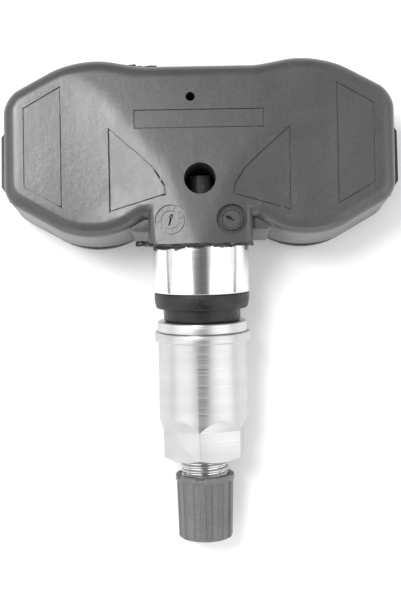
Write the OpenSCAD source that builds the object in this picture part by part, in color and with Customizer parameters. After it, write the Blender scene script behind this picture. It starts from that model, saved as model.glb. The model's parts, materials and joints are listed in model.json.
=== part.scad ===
// Tyre pressure sensor with a clamp-in valve stem, lying on its back.
// Origin: on the stem's axis, in the face of the grommet that seats on the rim.
// X to the right, +Y towards the housing's far edge, +Z up out of the front face.

/* [Housing] */
// Half the width of the housing between its side walls
side_x = 29.9; // [28:0.1:34]
// Depth of the housing with its back cover, square to the front face
house_depth = 16.0; // [15:0.1:17]
// Radius that rounds the front face into the walls
edge_r = 2.0; // [1:0.1:2.6]
// Thickness of the side walls round the inner space
wall = 1.6; // [1.2:0.1:2]
// Thickness of the front wall over the inner space
front_wall = 3.4; // [2.6:0.1:3.8]
// Angle at which each wing of the front face falls away from its middle
wing_fall = 6.0; // [2:0.5:8]
// Distance of the lowest point of each lobe above the neck's base
lobe_bottom = 1.6; // [1.2:0.1:2.4]
// Distance of the middle of the top edge above the neck's base
top_v = 27.85; // [27.2:0.05:30]
// Rise of the top edge from its middle to the shoulders of the lobes
top_rise = 1.75; // [1:0.05:2.5]
// Angle between the housing's front face and the stem's axis
house_tilt = 10.6; // [9:0.2:12]
// Height of the front face over the stem's axis at the neck
face_height = 8.8; // [8.4:0.1:10]
// Half the width of the neck that holds the stem
neck_half = 7.95; // [7.8:0.05:8.3]
// Depth of the neck behind the stem's axis
neck_back = 8.3; // [7.9:0.1:8.6]

/* [Front face] */
// Depth of the sunken panels, triangles and number frame
sink = 0.3; // [0.1:0.05:0.5]
// Diameter of the air outlet
outlet_d = 4.8; // [4:0.1:5.4]
// Distance of the air outlet above the neck's base
outlet_v = 10.1; // [9.7:0.1:10.9]
// Diameter of the pressure port
port_d = 1.4; // [1:0.1:1.8]
// Place of the pressure port, across and up
port_at = [-1.26, 22.7]; // [-4:0.1:25.5]
// Width of the number frame
frame_w = 19.8; // [16:0.1:22]
// Height of the number frame
frame_h = 2.9; // [2:0.1:4]
// Diameter of each date wheel
wheel_d = 4.6; // [3.6:0.1:5]
// Distance of each date wheel from the middle
wheel_x = 4.55; // [4:0.05:5.2]

/* [Back cover] */
// Thickness of the back cover
cover_t = 1.4; // [1:0.1:2]
// How far each side lug stands out from the side wall
lug_out = 1.35; // [1.2:0.05:2]
// How far each side lug reaches forwards from the back
lug_rise = 7.2; // [4:0.1:9]

/* [Inside] */
// Diameter of the battery
battery_d = 20; // [16:0.5:20]
// Thickness of the battery
battery_t = 3.2; // [2.5:0.1:3.2]
// Thickness of the circuit board
board_t = 1.0; // [0.8:0.1:1.6]
// Thickness of the metal strips
strip_t = 0.3; // [0.2:0.05:0.4]

/* [Stem] */
// Radius of the barrel between the neck and the grommet
barrel_r = 7.54; // [7.2:0.02:7.8]
// Length of the barrel
barrel_len = 7.8; // [6.5:0.1:9]
// Radius of the threaded shaft
shaft_r = 3.75; // [3.6:0.05:3.9]
// Distance of the stem's tip from the rim seat
tip_at = 34.6; // [34.2:0.1:34.9]
// Radius of the end that is moulded into the neck
anchor_r = 6.0; // [5.5:0.1:6.3]
// Length of the end that is moulded into the neck
anchor_len = 6.0; // [5:0.1:6.2]
// Radius of the air duct
duct_r = 1.7; // [1.4:0.05:1.8]

/* [Grommet and washer] */
// Radius of the grommet's flange next to the barrel
flange_r = 7.45; // [7.2:0.02:7.6]
// Radius of the grommet's flange at the rim seat
seat_r = 7.15; // [6.9:0.02:7.2]
// Thickness of the grommet's flange
flange_t = 2.5; // [2:0.1:3]
// Radius of the collar that centres in the rim's hole
collar_r = 6.05; // [5.6:0.05:6.2]
// Distance from the rim seat to the washer
rim_gap = 2.05; // [2.05:0.05:2.6]
// Radius of the washer
washer_r = 7.05; // [6.8:0.05:7.2]
// Thickness of the washer
washer_t = 1.6; // [1.2:0.1:2]

/* [Nut] */
// Radius of the nut's flange
nut_flange_r = 7.53; // [7.2:0.02:7.8]
// Thickness of the nut's flange
nut_flange_t = 1.5; // [1:0.05:1.6]
// Radius of the nut's round body
nut_r = 7.0; // [6.95:0.01:7.2]
// Length of the nut from the washer to the end of its hexagon
nut_len = 20.3; // [19:0.05:20.6]
// Length of the hexagon
hex_len = 4.9; // [4:0.1:6]
// Width across the hexagon's flats
hex_flats = 12.0; // [11.5:0.1:12.1]
// Radius to which the end of the hexagon is turned down
hex_end_r = 5.7; // [5:0.1:5.8]
// Length of the sloped shoulders above the hexagon's flats
shoulder = 1.95; // [1:0.05:3]
// Turn of the hexagon's front corner from straight ahead
hex_turn = 6; // [-30:1:30]

/* [Cap] */
// Radius of the cap's rim
cap_rim_r = 4.65; // [4.5:0.05:4.9]
// Distance from the rim seat to the cap's mouth
cap_at = 26.5; // [26.3:0.1:27.5]
// Length of the cap's rim
cap_rim_len = 0.9; // [0.7:0.05:2]
// Radius over the ribs next to the rim
cap_r = 4.5; // [4.35:0.01:4.6]
// Radius over the ribs at the far end
cap_end_r = 4.28; // [4.2:0.01:4.35]
// Length of the cap
cap_len = 10.3; // [10.2:0.05:11.2]
// Number of ribs round the cap
rib_count = 14; // [8:1:16]
// Width of each rib
rib_w = 0.95; // [0.6:0.05:1.2]
// How far each rib stands out
rib_h = 0.24; // [0.15:0.01:0.3]
// Turn of the ribs from straight ahead
rib_turn = 5; // [0:1:30]
// Thickness of the seal inside the cap
cap_seal_t = 0.9; // [0.6:0.1:1]

/* [Valve core] */
// Radius of the core's threaded plug
core_r = 2.55; // [2.4:0.05:2.6]
// Radius of the core's lower sleeve
sleeve_r = 1.95; // [1.9:0.01:2]
// Radius of the pin
pin_r = 0.6; // [0.5:0.05:0.7]
// Travel of the pin when it is pressed
pin_travel = 1.2; // [0.8:0.1:1.5]
// Radius of the spring's wire
wire_r = 0.16; // [0.12:0.01:0.2]

/* [Clearances] */
// Gap round turning and sliding pieces
run = 0.05; // [0.03:0.01:0.08]
// Gap between pieces that are set beside each other
lay_gap = 0.05; // [0.03:0.01:0.1]

/* [Hidden] */
$fn = 96;
over = 1;

// Places along the stem, from the rim seat outwards
neck_at = -(flange_t + barrel_len);
washer_end = rim_gap + washer_t;
nut_end = washer_end + nut_len;
hex_at = nut_end - hex_len;
hex_r = hex_flats / 2 / cos(30);
hex_turned_len = (hex_r - hex_end_r) * tan(30);
nut_turned_len = (nut_r - hex_end_r) * tan(30);
cap_end = cap_at + cap_len;

// The lying tilt puts the cover's far edge and the hexagon's corner on one level
far_v = top_v + top_rise - 0.6;
far_y = -neck_at + far_v * cos(house_tilt) - house_depth * sin(house_tilt);
far_z = face_height - far_v * sin(house_tilt) - house_depth * cos(house_tilt);
heel_y = -(nut_end - hex_turned_len);
heel_z = -hex_r;
lay_tilt = atan((heel_z - far_z) / (far_y - heel_y));

// Corners of the outline's right half: across, up, radius and steps of the arc
base_v = 4.35;
crease_foot = 1.2;
lobe_r = 11.5;
outline_half = [
    [crease_foot, base_v, 0, 0],
    [neck_half + 0.6, base_v, 0.5, 1],
    [16.15, lobe_bottom - 1.85, lobe_r, 9],
    [side_x, 7.6, 3.6, 6],
    [side_x, top_v - 4.5, 4.3, 7],
    [18.3, top_v + top_rise, 14, 6],
    [9, top_v, 10, 1]
];
corners = concat(
    outline_half,
    [for (i = [len(outline_half) - 1:-1:0]) [
        -outline_half[i][0], outline_half[i][1], outline_half[i][2], outline_half[i][3]
    ]]
);
round_steps = 4;
body_back = -(house_depth - cover_t);

// Inner space
ceiling = -front_wall;
board_front = ceiling - battery_t - 3 * strip_t - 0.5;
board_back = board_front - board_t;
core_block_x = 7.7;
core_block_v = 13.7;
battery_at = [-(core_block_x + 0.25 + battery_d / 2), 15.4];
battery_back = board_front + strip_t;
battery_front = battery_back + battery_t;

// Air path
duct_y = (outlet_v - face_height * sin(house_tilt)) / cos(house_tilt) - neck_at;

// The back of the neck runs up the stem's direction until it meets the cover's plane
ramp_len = ((neck_back + face_height) * cos(house_tilt) - house_depth) / sin(house_tilt);

// Valve core places along the stem
core_top = tip_at - 0.5;
core_plug_len = 6;
core_seat = core_top - core_plug_len;
sleeve_len = 6.5;
sleeve_end = core_seat - sleeve_len;
ledge_t = 0.6;
pin_bore = pin_r + run;
spring_low = sleeve_end + ledge_t + lay_gap;
spring_high = core_seat - 0.6;
spring_turns = 6;
cup_r = 1.5;
cup_len = 2.2;
cup_seal_t = 0.5;

// Small arithmetic
function unit(v) = v / norm(v);
function turned(v, a) = [v[0] * cos(a) - v[1] * sin(a), v[0] * sin(a) + v[1] * cos(a)];
function flat(lists) = [for (l = lists) for (p = l) p];
function xy(q) = [q[0], q[1]];
function fan(hub, rim) = [for (i = [0:len(rim) - 1]) [hub, rim[i], rim[(i + 1) % len(rim)]]];

// One rounded corner of the outline, moved inwards by inset
function corner_arc(before, here, after, inset) =
    let (
        u1 = unit(xy(here) - xy(before)),
        u2 = unit(xy(after) - xy(here)),
        bend = atan2(u1[0] * u2[1] - u1[1] * u2[0], u1 * u2),
        radius = sign(bend) * here[2],
        start = xy(here) - u1 * abs(here[2] * tan(bend / 2)),
        out = [u1[1], -u1[0]],
        centre = start - radius * out
    )
    [for (k = [0:here[3]]) centre + (radius - inset) * turned(out, bend * k / max(1, here[3]))];

// The whole outline, counter-clockwise from the foot of the right crease
function outline(inset) =
    let (n = len(corners))
    flat([for (i = [0:n - 1])
        corner_arc(corners[(i + n - 1) % n], corners[i], corners[(i + 1) % n], inset)]);

function steps_before(i) = i == 0 ? 0 : steps_before(i - 1) + outline_half[i - 1][3] + 1;

// The crease runs from the outline's first point to one step into the shoulder's arc
face_ring = outline(edge_r);
crease_top = steps_before(5) + 1;
crease_a = face_ring[0];
crease_dir = unit(face_ring[crease_top] - crease_a);
crease_out = [crease_dir[1], -crease_dir[0]];
function beyond_crease(p) = max(0, ([abs(p[0]), p[1]] - crease_a) * crease_out);
function face_drop(p) = beyond_crease(p) * tan(wing_fall);
function to_wing(p) = [
    (p - crease_a) * crease_out / cos(wing_fall),
    (p - crease_a) * crease_dir
];

// Frames
module lay() {
    rotate([lay_tilt, 0, 0]) children();
}

// Local z runs outwards along the stem and local y towards the front
module along_stem() {
    lay() rotate([90, 0, 0]) children();
}

// Local x across, y up the front face and z out of it
module in_housing() {
    lay() translate([0, -neck_at, face_height]) rotate([-house_tilt, 0, 0]) children();
}

// The plane of one wing of the front face, side 1 right and -1 left
module on_wing(side) {
    mirror([side < 0 ? 1 : 0, 0, 0])
        translate([crease_a[0], crease_a[1], 0])
            rotate([0, 0, atan2(crease_dir[1], crease_dir[0]) - 90])
                rotate([0, wing_fall, 0]) children();
}

module block(x0, x1, y0, y1, z0, z1) {
    translate([x0, y0, z0]) cube([x1 - x0, y1 - y0, z1 - z0]);
}

module ring(r_out, r_in, z0, z1) {
    difference() {
        translate([0, 0, z0]) cylinder(r = r_out, h = z1 - z0);
        translate([0, 0, z0 - over]) cylinder(r = r_in, h = z1 - z0 + 2 * over);
    }
}

// A plate that follows the outline, with the block round the stem left out
module inner_plate(inset, z0, z1, gap) {
    difference() {
        translate([0, 0, z0]) linear_extrude(z1 - z0) polygon(outline(inset));
        block(-core_block_x - gap, core_block_x + gap, -over, core_block_v + gap, z0 - over, z1 + over);
    }
}

// Housing
module housing_body() {
    n = len(face_ring);
    turns = [for (k = [0:round_steps]) 90 * k / round_steps];
    rings = concat(
        [[for (p = outline(0)) [p[0], p[1], body_back]]],
        [for (t = turns) [for (p = outline(edge_r * (1 - cos(t))))
            [p[0], p[1], -edge_r * (1 - sin(t)) - face_drop(p)]]]
    );
    last = (len(rings) - 1) * n;
    // A middle for each flat: the back, the front's middle and its two wings
    wing_mid = (crease_a + face_ring[crease_top]) / 2 + crease_out * side_x / 5;
    middle = [0, (base_v + top_v) / 2];
    mids = [
        [middle[0], middle[1], body_back],
        [middle[0], middle[1], 0],
        [wing_mid[0], wing_mid[1], -face_drop(wing_mid)],
        [-wing_mid[0], wing_mid[1], -face_drop(wing_mid)]
    ];
    mid = last + n;
    polyhedron(
        points = concat(flat(rings), mids),
        faces = concat(
            fan(mid, [for (i = [0:n - 1]) i]),
            [for (r = [0:len(rings) - 2]) for (i = [0:n - 1])
                [r * n + i, (r + 1) * n + i, (r + 1) * n + (i + 1) % n, r * n + (i + 1) % n]],
            fan(mid + 1, concat([last + n - 1],
                [for (i = [n - 1 - crease_top:-1:crease_top]) last + i], [last])),
            fan(mid + 2, [for (i = [crease_top:-1:0]) last + i]),
            fan(mid + 3, [for (i = [n - 1:-1:n - 1 - crease_top]) last + i])
        )
    );
}

// The neck: its front is flush with the face, and its back ramps out below the cover
module neck() {
    round_front = 1.5;
    block_v = 7;
    intersection() {
        in_housing() union() {
            block(-neck_half, neck_half, -over, block_v, -face_height, -round_front);
            block(-neck_half + round_front, neck_half - round_front, -over, block_v, -face_height, 0);
            for (side = [-1, 1])
                translate([side * (neck_half - round_front), -over, -round_front])
                    rotate([-90, 0, 0]) cylinder(r = round_front, h = block_v + over);
        }
        along_stem() block(-2 * neck_half, 2 * neck_half, -neck_half, 2 * neck_half, -4 * neck_half, neck_at);
    }
    neck_ramp(0);
}

// A pad on the wall at each side of the neck
module neck_pads() {
    pad_end = 11;
    pad_v = 2.5;
    pad_top = 5;
    chamfer = 0.6;
    for (side = [-1, 1]) mirror([side < 0 ? 1 : 0, 0, 0])
        translate([0, 0, body_back]) linear_extrude(-body_back - edge_r - chamfer) polygon([
            [neck_half - 1, pad_v], [pad_end - chamfer, pad_v], [pad_end, pad_v + chamfer],
            [pad_end, pad_top], [neck_half - 1, pad_top]
        ]);
}

// The neck's back, with rounded corners; gap widens it for its notch
module neck_ramp(gap) {
    round_back = 5;
    half = neck_half + gap;
    low = -neck_back - gap;
    along_stem() translate([0, 0, neck_at - ramp_len - gap]) linear_extrude(ramp_len + gap) union() {
        translate([-half, low + round_back]) square([2 * half, -low - round_back]);
        translate([-half + round_back, low]) square([2 * (half - round_back), -low]);
        for (side = [-1, 1])
            translate([side * (half - round_back), low + round_back]) circle(r = round_back);
    }
}

// The end of the stem that is moulded in, with two grooves; gap widens it for its hole
module anchor(gap) {
    groove = 1.0;
    step = anchor_len / 5;
    rotate_extrude() polygon([
        [0, neck_at - anchor_len - gap],
        [anchor_r + gap, neck_at - anchor_len - gap],
        for (k = [0:1]) each [
            [anchor_r + gap, neck_at - (4 - 2 * k) * step - gap],
            [anchor_r - groove + gap, neck_at - (4 - 2 * k) * step - gap],
            [anchor_r - groove + gap, neck_at - (3 - 2 * k) * step + gap],
            [anchor_r + gap, neck_at - (3 - 2 * k) * step + gap]
        ],
        [anchor_r + gap, neck_at + gap],
        [0, neck_at + gap]
    ]);
}

// Sunken panels and triangles on one wing
module wing_marks(side) {
    panel = [[21, 24.7], [26.75, 21.4], [26.75, 9.3], [21, 6.05]];
    triangle = [[13.85, 18.1], [13.8, 5.2], [5, 7.7], [5.2, 9.1], [6.6, 11.5], [9.2, 14]];
    for (shape = [panel, triangle])
        on_wing(side) translate([0, 0, -sink]) linear_extrude(over + sink)
            polygon([for (p = shape) to_wing(p)]);
}

module front_marks() {
    frame_v = 19.3;
    wheel_v = 3.8;
    for (side = [-1, 1]) {
        wing_marks(side);
        translate([side * wheel_x, wheel_v, -sink]) ring(wheel_d / 2, wheel_d / 2 - 0.5, 0, over);
        translate([side * wheel_x, wheel_v, -sink]) block(-0.25, 0.25, -wheel_d / 4, wheel_d / 4, 0, over);
    }
    block(-frame_w / 2, frame_w / 2, frame_v - frame_h / 2, frame_v + frame_h / 2, -sink, over);
}

module housing() {
    color("dimgray") difference() {
        union() {
            in_housing() housing_body();
            in_housing() neck_pads();
            neck();
        }
        in_housing() {
            inner_plate(wall, body_back - over, ceiling, -lay_gap);
            front_marks();
            translate([port_at[0], port_at[1], -front_wall - over])
                cylinder(d = port_d, h = front_wall + 2 * over);
            translate([0, outlet_v, -face_height - duct_r + over]) cylinder(d = outlet_d, h = 2 * face_height);
        }
        along_stem() {
            anchor(0);
            translate([0, 0, -duct_y]) cylinder(r = duct_r, h = duct_y + neck_at);
        }
    }
}

// Back cover with a lug at each side
module back_cover() {
    foot = 2;
    lug_low = 9.5;
    lug_high = 20;
    color("black") difference() {
        in_housing() translate([0, 0, -house_depth]) linear_extrude(cover_t) polygon(outline(0));
        neck_ramp(lay_gap);
        in_housing() block(-neck_half, neck_half, -over, core_block_v / 2, -house_depth - over, body_back + over);
    }
    color("black") in_housing() {
        for (side = [-1, 1]) mirror([side < 0 ? 1 : 0, 0, 0]) {
            translate([0, 0, -house_depth]) linear_extrude(lug_rise) polygon([
                [side_x + lay_gap, lug_low], [side_x + lug_out - 0.95, lug_low],
                [side_x + lug_out, lug_low + 1.3], [side_x + lug_out, lug_high - 1.2],
                [side_x + lug_out - 0.9, lug_high], [side_x + lay_gap, lug_high]
            ]);
            block(side_x - foot, side_x + foot / 2, lug_low, lug_high, -house_depth, body_back);
        }
    }
}

// Board, its potting and what sits on it
module potting_layer() {
    color("darkslategray") in_housing() inner_plate(wall + lay_gap, body_back, board_back, lay_gap);
}

module circuit_board() {
    color("darkgreen") in_housing() inner_plate(wall + 2 * lay_gap, board_back, board_front, lay_gap);
}

module battery_cell() {
    lip = 0.3;
    color("silver") in_housing() translate([battery_at[0], battery_at[1], battery_back]) {
        translate([0, 0, lip]) cylinder(d = battery_d, h = battery_t - lip);
        cylinder(d = battery_d - 3, h = lip);
    }
}

module battery_tab_plus() {
    half = 2;
    reach = battery_d / 2 + 0.4;
    color("lightgray") in_housing() translate([battery_at[0], battery_at[1], 0]) {
        block(-half, half, 0, reach + strip_t, battery_front, battery_front + strip_t);
        block(-half, half, reach, reach + strip_t, board_front, battery_front + strip_t);
    }
}

module battery_tab_minus() {
    half = 2;
    color("lightgray") in_housing() translate([battery_at[0], battery_at[1], board_front])
        block(-battery_d / 2 + 2, battery_d / 2 - 2, -half, half, 0, strip_t);
}

module chip(x, y, w, l, h) {
    in_housing() translate([x - w / 2, y - l / 2, board_front]) cube([w, l, h]);
}

module pressure_sensor_chip() {
    size = 6;
    height = 2.2;
    color("gray") difference() {
        chip(port_at[0], port_at[1], size, size, height);
        in_housing() translate([port_at[0], port_at[1], board_front + height / 2])
            cylinder(d = port_d, h = height);
    }
}

module port_seal() {
    low = board_front + 2.2;
    color("dimgray") in_housing() translate([port_at[0], port_at[1], 0]) ring(2.4, port_d / 2 + 0.2, low, ceiling);
}

module transmitter_chip() {
    color("black") chip(13, 19.8, 6, 6, 1.2);
}

module motion_sensor_chip() {
    color("black") chip(12.5, 10.5, 4.5, 4.5, 1.6);
}

module crystal_can() {
    color("silver") chip(20, 22.6, 3.2, 5, 1.1);
}

module board_capacitors() {
    color("tan") for (k = [0:4]) chip(9.8 + 1.7 * k, 15, 0.9, 1.8, 0.9);
}

// The wake-up coil: a core with two cheeks and a winding between them
module wake_coil_core() {
    color("darkgray") {
        for (end = [-1, 1]) chip(24.4, 14.5 + end * 6, 3.4, 1.4, 3);
        in_housing() block(23.5, 25.3, 8.5, 20.5, board_front + 0.6, board_front + 2.4);
    }
}

module wake_coil_winding() {
    color("peru") in_housing() difference() {
        block(22.9, 25.9, 9.5, 19.5, board_front + 0.1, board_front + 2.9);
        block(23.5, 25.3, 9, 20, board_front + 0.6, board_front + 2.4);
    }
}

// The aerial: a bent strip that stands on the board on two legs
module antenna_loop() {
    rise = 3.2;
    across = 1.2;
    low_v = 5.9;
    color("goldenrod") in_housing() translate([0, 0, board_front]) {
        block(10.5, 22.5, low_v, low_v + across, rise - strip_t, rise);
        block(10.5, 10.5 + across, low_v, low_v + 2 * across, rise - strip_t, rise);
        for (x = [10.5, 22.5 - strip_t]) block(x, x + strip_t, low_v, low_v + across, 0, rise);
    }
}

// Stem with its barrel, threaded shaft, air duct and core chamber
module valve_stem() {
    chamber = core_r + run;
    throat = sleeve_r + run;
    tip_cut = 0.6;
    color("silver") along_stem() difference() {
        union() {
            anchor(0);
            translate([0, 0, neck_at]) cylinder(r = barrel_r, h = barrel_len);
            translate([0, 0, neck_at]) cylinder(r = shaft_r, h = tip_at - tip_cut - neck_at);
            translate([0, 0, tip_at - tip_cut])
                cylinder(r1 = shaft_r, r2 = shaft_r - tip_cut, h = tip_cut);
        }
        translate([0, 0, neck_at - anchor_len - over]) cylinder(r = duct_r, h = tip_at - neck_at);
        translate([0, 0, sleeve_end - cup_len - pin_travel - over])
            cylinder(r = throat, h = tip_at);
        translate([0, 0, core_seat]) cylinder(r = chamber, h = tip_at);
        translate([0, 0, core_seat - core_r / 2])
            cylinder(r1 = throat, r2 = chamber, h = core_r / 2);
    }
}

// Rubber grommet: a flange that tapers to the rim seat and a collar for the hole
module rim_grommet() {
    lip = 0.25;
    root = 0.1;
    nose = 0.3;
    bore = shaft_r;
    end = rim_gap - lay_gap;
    color([0.12, 0.12, 0.12]) along_stem() rotate_extrude() polygon([
        [bore, -flange_t], [flange_r - lip, -flange_t], [flange_r, -flange_t + lip],
        [flange_r - 0.05, -flange_t / 2], [seat_r, 0], [collar_r + root, 0], [collar_r, root],
        [collar_r, end - nose], [collar_r - nose, end], [bore, end]
    ]);
}

module nut_washer() {
    edge = 0.15;
    color("lightgray") along_stem() rotate_extrude() polygon([
        [shaft_r + run, rim_gap], [washer_r - edge, rim_gap], [washer_r, rim_gap + edge],
        [washer_r, washer_end], [shaft_r + run, washer_end]
    ]);
}

// Collar nut: flange, round body, and a hexagon milled into it with sloped shoulders
module collar_nut() {
    edge = 0.15;
    relief_len = 7;
    relief_r = shaft_r + 1;
    flat_at = hex_flats / 2;
    cut_out = nut_r + over;
    start = washer_end + lay_gap;
    color("gainsboro") along_stem() difference() {
        rotate_extrude() polygon([
            [shaft_r + run, start + relief_len], [relief_r, start + relief_len], [relief_r, start],
            [nut_flange_r - edge, start], [nut_flange_r, start + edge],
            [nut_flange_r, washer_end + nut_flange_t - edge],
            [nut_flange_r - edge, washer_end + nut_flange_t],
            [nut_r, washer_end + nut_flange_t], [nut_r, nut_end - nut_turned_len],
            [hex_end_r, nut_end], [shaft_r + run, nut_end]
        ]);
        for (k = [0:5]) rotate([0, 0, 60 + hex_turn + 60 * k]) rotate([90, 0, 0])
            translate([0, 0, -cut_out]) linear_extrude(2 * cut_out) polygon([
                [flat_at, nut_end + over], [flat_at, hex_at],
                [flat_at + (cut_out - flat_at), hex_at - shoulder * (cut_out - flat_at) / (nut_r - flat_at)],
                [cut_out + over, hex_at], [cut_out + over, nut_end + over]
            ]);
    }
}

// Cap: rim, tapered body with ribs, rounded end
module valve_cap() {
    round_end = 0.4;
    foot = cap_at + cap_rim_len;
    color("gray") along_stem() difference() {
        union() {
            translate([0, 0, cap_at]) cylinder(r = cap_rim_r, h = cap_rim_len);
            intersection() {
                rotate_extrude() polygon([
                    [0, cap_at], [cap_r, cap_at], [cap_r, foot],
                    [cap_end_r, cap_end - round_end], [cap_end_r - round_end, cap_end], [0, cap_end]
                ]);
                union() {
                    translate([0, 0, foot - over])
                        cylinder(r1 = cap_r - rib_h, r2 = cap_end_r - rib_h, h = cap_len);
                    for (k = [0:rib_count - 1]) rotate([0, 0, 90 + rib_turn + k * 360 / rib_count])
                        block(0, cap_rim_r, -rib_w / 2, rib_w / 2, cap_at, cap_end);
                }
            }
        }
        translate([0, 0, cap_at - over])
            cylinder(r = shaft_r + run, h = tip_at + run + cap_seal_t - cap_at + over);
    }
}

module cap_seal() {
    color("black") along_stem() translate([0, 0, tip_at + run]) cylinder(r = shaft_r, h = cap_seal_t);
}

// Valve core: plug and sleeve in one, with a hole down the middle
module core_barrel() {
    flat_w = 2.4;
    slot_h = 1.6;
    well_r = sleeve_r - 0.6;
    color("goldenrod") along_stem() difference() {
        union() {
            translate([0, 0, core_seat]) cylinder(r = core_r, h = core_plug_len);
            translate([0, 0, sleeve_end]) cylinder(r = sleeve_r, h = sleeve_len);
        }
        translate([0, 0, sleeve_end - over]) cylinder(r = pin_bore, h = sleeve_len + core_plug_len + 2 * over);
        translate([0, 0, sleeve_end + ledge_t]) cylinder(r = well_r, h = core_seat - sleeve_end - ledge_t);
        for (side = [-1, 1])
            translate([side * (flat_w / 2 + core_r / 2), 0, core_top - slot_h / 2 + over / 2])
                cube([core_r, 2 * core_r + over, slot_h + over], center = true);
    }
}

module core_barrel_seal() {
    depth = core_r / 2;
    color("firebrick") along_stem() difference() {
        translate([0, 0, core_seat - depth]) cylinder(r1 = sleeve_r + run, r2 = core_r, h = depth);
        translate([0, 0, core_seat - depth - over]) cylinder(r = sleeve_r, h = depth + 2 * over);
    }
}

module core_pin() {
    low = sleeve_end - cup_seal_t - cup_len;
    collar = 0.5;
    color("gold") along_stem() {
        translate([0, 0, low]) cylinder(r = pin_r, h = core_top - low);
        translate([0, 0, spring_high]) cylinder(r = sleeve_r - 0.75, h = collar);
    }
}

module core_cup() {
    color("gold") along_stem()
        ring(cup_r, pin_r, sleeve_end - cup_seal_t - cup_len, sleeve_end - cup_seal_t);
}

module core_cup_seal() {
    color("black") along_stem() ring(cup_r, pin_r, sleeve_end - cup_seal_t, sleeve_end);
}

// Spring round the pin, swept along its helix between the ledge and the pin's collar
module core_spring() {
    around = 16;
    sides = 6;
    coil_r = (pin_r + sleeve_r - 0.6) / 2;
    n = spring_turns * around;
    low = spring_low + wire_r;
    rise = (spring_high - wire_r - low) / n;
    rings = [for (i = [0:n]) for (k = [0:sides - 1])
        let (a = i * 360 / around, b = k * 360 / sides, r = coil_r + wire_r * cos(b))
        [r * cos(a), r * sin(a), low + i * rise + wire_r * sin(b)]];
    color("lightgray") along_stem() polyhedron(
        points = rings,
        faces = concat(
            [[for (k = [0:sides - 1]) k]],
            [for (i = [0:n - 1]) for (k = [0:sides - 1]) [
                i * sides + k, (i + 1) * sides + k,
                (i + 1) * sides + (k + 1) % sides, i * sides + (k + 1) % sides
            ]],
            [[for (k = [sides - 1:-1:0]) n * sides + k]]
        )
    );
}

housing();
back_cover();
potting_layer();
circuit_board();
battery_cell();
battery_tab_plus();
battery_tab_minus();
pressure_sensor_chip();
port_seal();
transmitter_chip();
motion_sensor_chip();
crystal_can();
board_capacitors();
wake_coil_core();
wake_coil_winding();
antenna_loop();
valve_stem();
rim_grommet();
nut_washer();
collar_nut();
valve_cap();
cap_seal();
core_barrel();
core_barrel_seal();
core_pin();
core_cup();
core_cup_seal();
core_spring();
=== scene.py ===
"""The looks of a clamp-in tyre pressure sensor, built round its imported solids."""
import json
import logging
import math
from dataclasses import dataclass
from enum import Enum
from typing import Callable, Iterable, Optional, Sequence

import bmesh
import bpy
from bpy.types import ID, ColorRamp, Material, NodeSocket, Object
from mathutils import Matrix, Vector, noise


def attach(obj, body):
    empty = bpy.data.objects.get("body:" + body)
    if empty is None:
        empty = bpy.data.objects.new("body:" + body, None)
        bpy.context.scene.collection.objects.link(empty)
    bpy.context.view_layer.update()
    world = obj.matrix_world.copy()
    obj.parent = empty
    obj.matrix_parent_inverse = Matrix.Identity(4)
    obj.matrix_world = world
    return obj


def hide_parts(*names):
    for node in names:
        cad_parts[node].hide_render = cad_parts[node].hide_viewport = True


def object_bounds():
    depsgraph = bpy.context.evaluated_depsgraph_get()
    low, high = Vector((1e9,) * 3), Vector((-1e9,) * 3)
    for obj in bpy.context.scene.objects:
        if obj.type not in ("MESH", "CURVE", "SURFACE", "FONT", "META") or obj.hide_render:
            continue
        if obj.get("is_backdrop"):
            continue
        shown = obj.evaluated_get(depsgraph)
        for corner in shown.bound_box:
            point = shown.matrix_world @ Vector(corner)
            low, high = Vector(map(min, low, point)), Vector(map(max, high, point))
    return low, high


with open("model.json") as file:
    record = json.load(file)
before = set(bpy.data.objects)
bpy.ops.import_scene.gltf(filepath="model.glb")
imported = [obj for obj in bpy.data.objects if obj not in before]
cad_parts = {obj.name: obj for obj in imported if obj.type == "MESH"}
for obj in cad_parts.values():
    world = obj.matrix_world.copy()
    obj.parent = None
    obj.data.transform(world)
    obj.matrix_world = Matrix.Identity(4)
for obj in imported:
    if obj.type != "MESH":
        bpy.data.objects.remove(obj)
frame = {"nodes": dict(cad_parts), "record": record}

Pair = tuple[float, float]
Triple = tuple[float, float, float]

LOG = logging.getLogger("pressure_sensor")
MM = 0.001
MERGE_DIST = 1e-4  # millimetres between points that are merged
CUT_DIST = 1e-5  # millimetres within which a cut keeps to a point
HAIR = 0.01  # millimetres by which a test or a solid stays clear of a face
CLEAR = 1.0  # millimetres by which a cutter stands out of what it cuts
NOISE_LOW, NOISE_HIGH = 0.3, 0.7  # most of a noise's factors lie between these


class Body(Enum):
    """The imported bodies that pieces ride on."""

    SENSOR = "sensor"
    WASHER = "washer"
    NUT = "nut"
    CAP = "cap"


class Joining(Enum):
    """How one closed shape is combined with another."""

    ADD = "UNION"
    CUT = "DIFFERENCE"


@dataclass(frozen=True)
class Places:
    """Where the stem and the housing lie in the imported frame, in millimetres and degrees."""

    neck_at: float = -10.3
    face_height: float = 8.8
    house_tilt: float = 10.6

    def lying(self) -> Matrix:
        """Return the tilt at which the part lies, read from the rim seat's axis."""
        axis = frame["record"]["mounts"][0]["axis"]
        return Matrix.Rotation(math.atan2(-axis[2], -axis[1]), 4, "X")

    def stem(self) -> Matrix:
        """Return the stem's frame: z outwards along the stem and y towards the front."""
        return self.lying() @ Matrix.Rotation(math.radians(90), 4, "X")

    def housing(self) -> Matrix:
        """Return the housing's frame: x across, y up the front face and z out of it."""
        shift = Matrix.Translation((0, -self.neck_at, self.face_height))
        return self.lying() @ shift @ Matrix.Rotation(math.radians(-self.house_tilt), 4, "X")


PLACES = Places()


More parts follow.
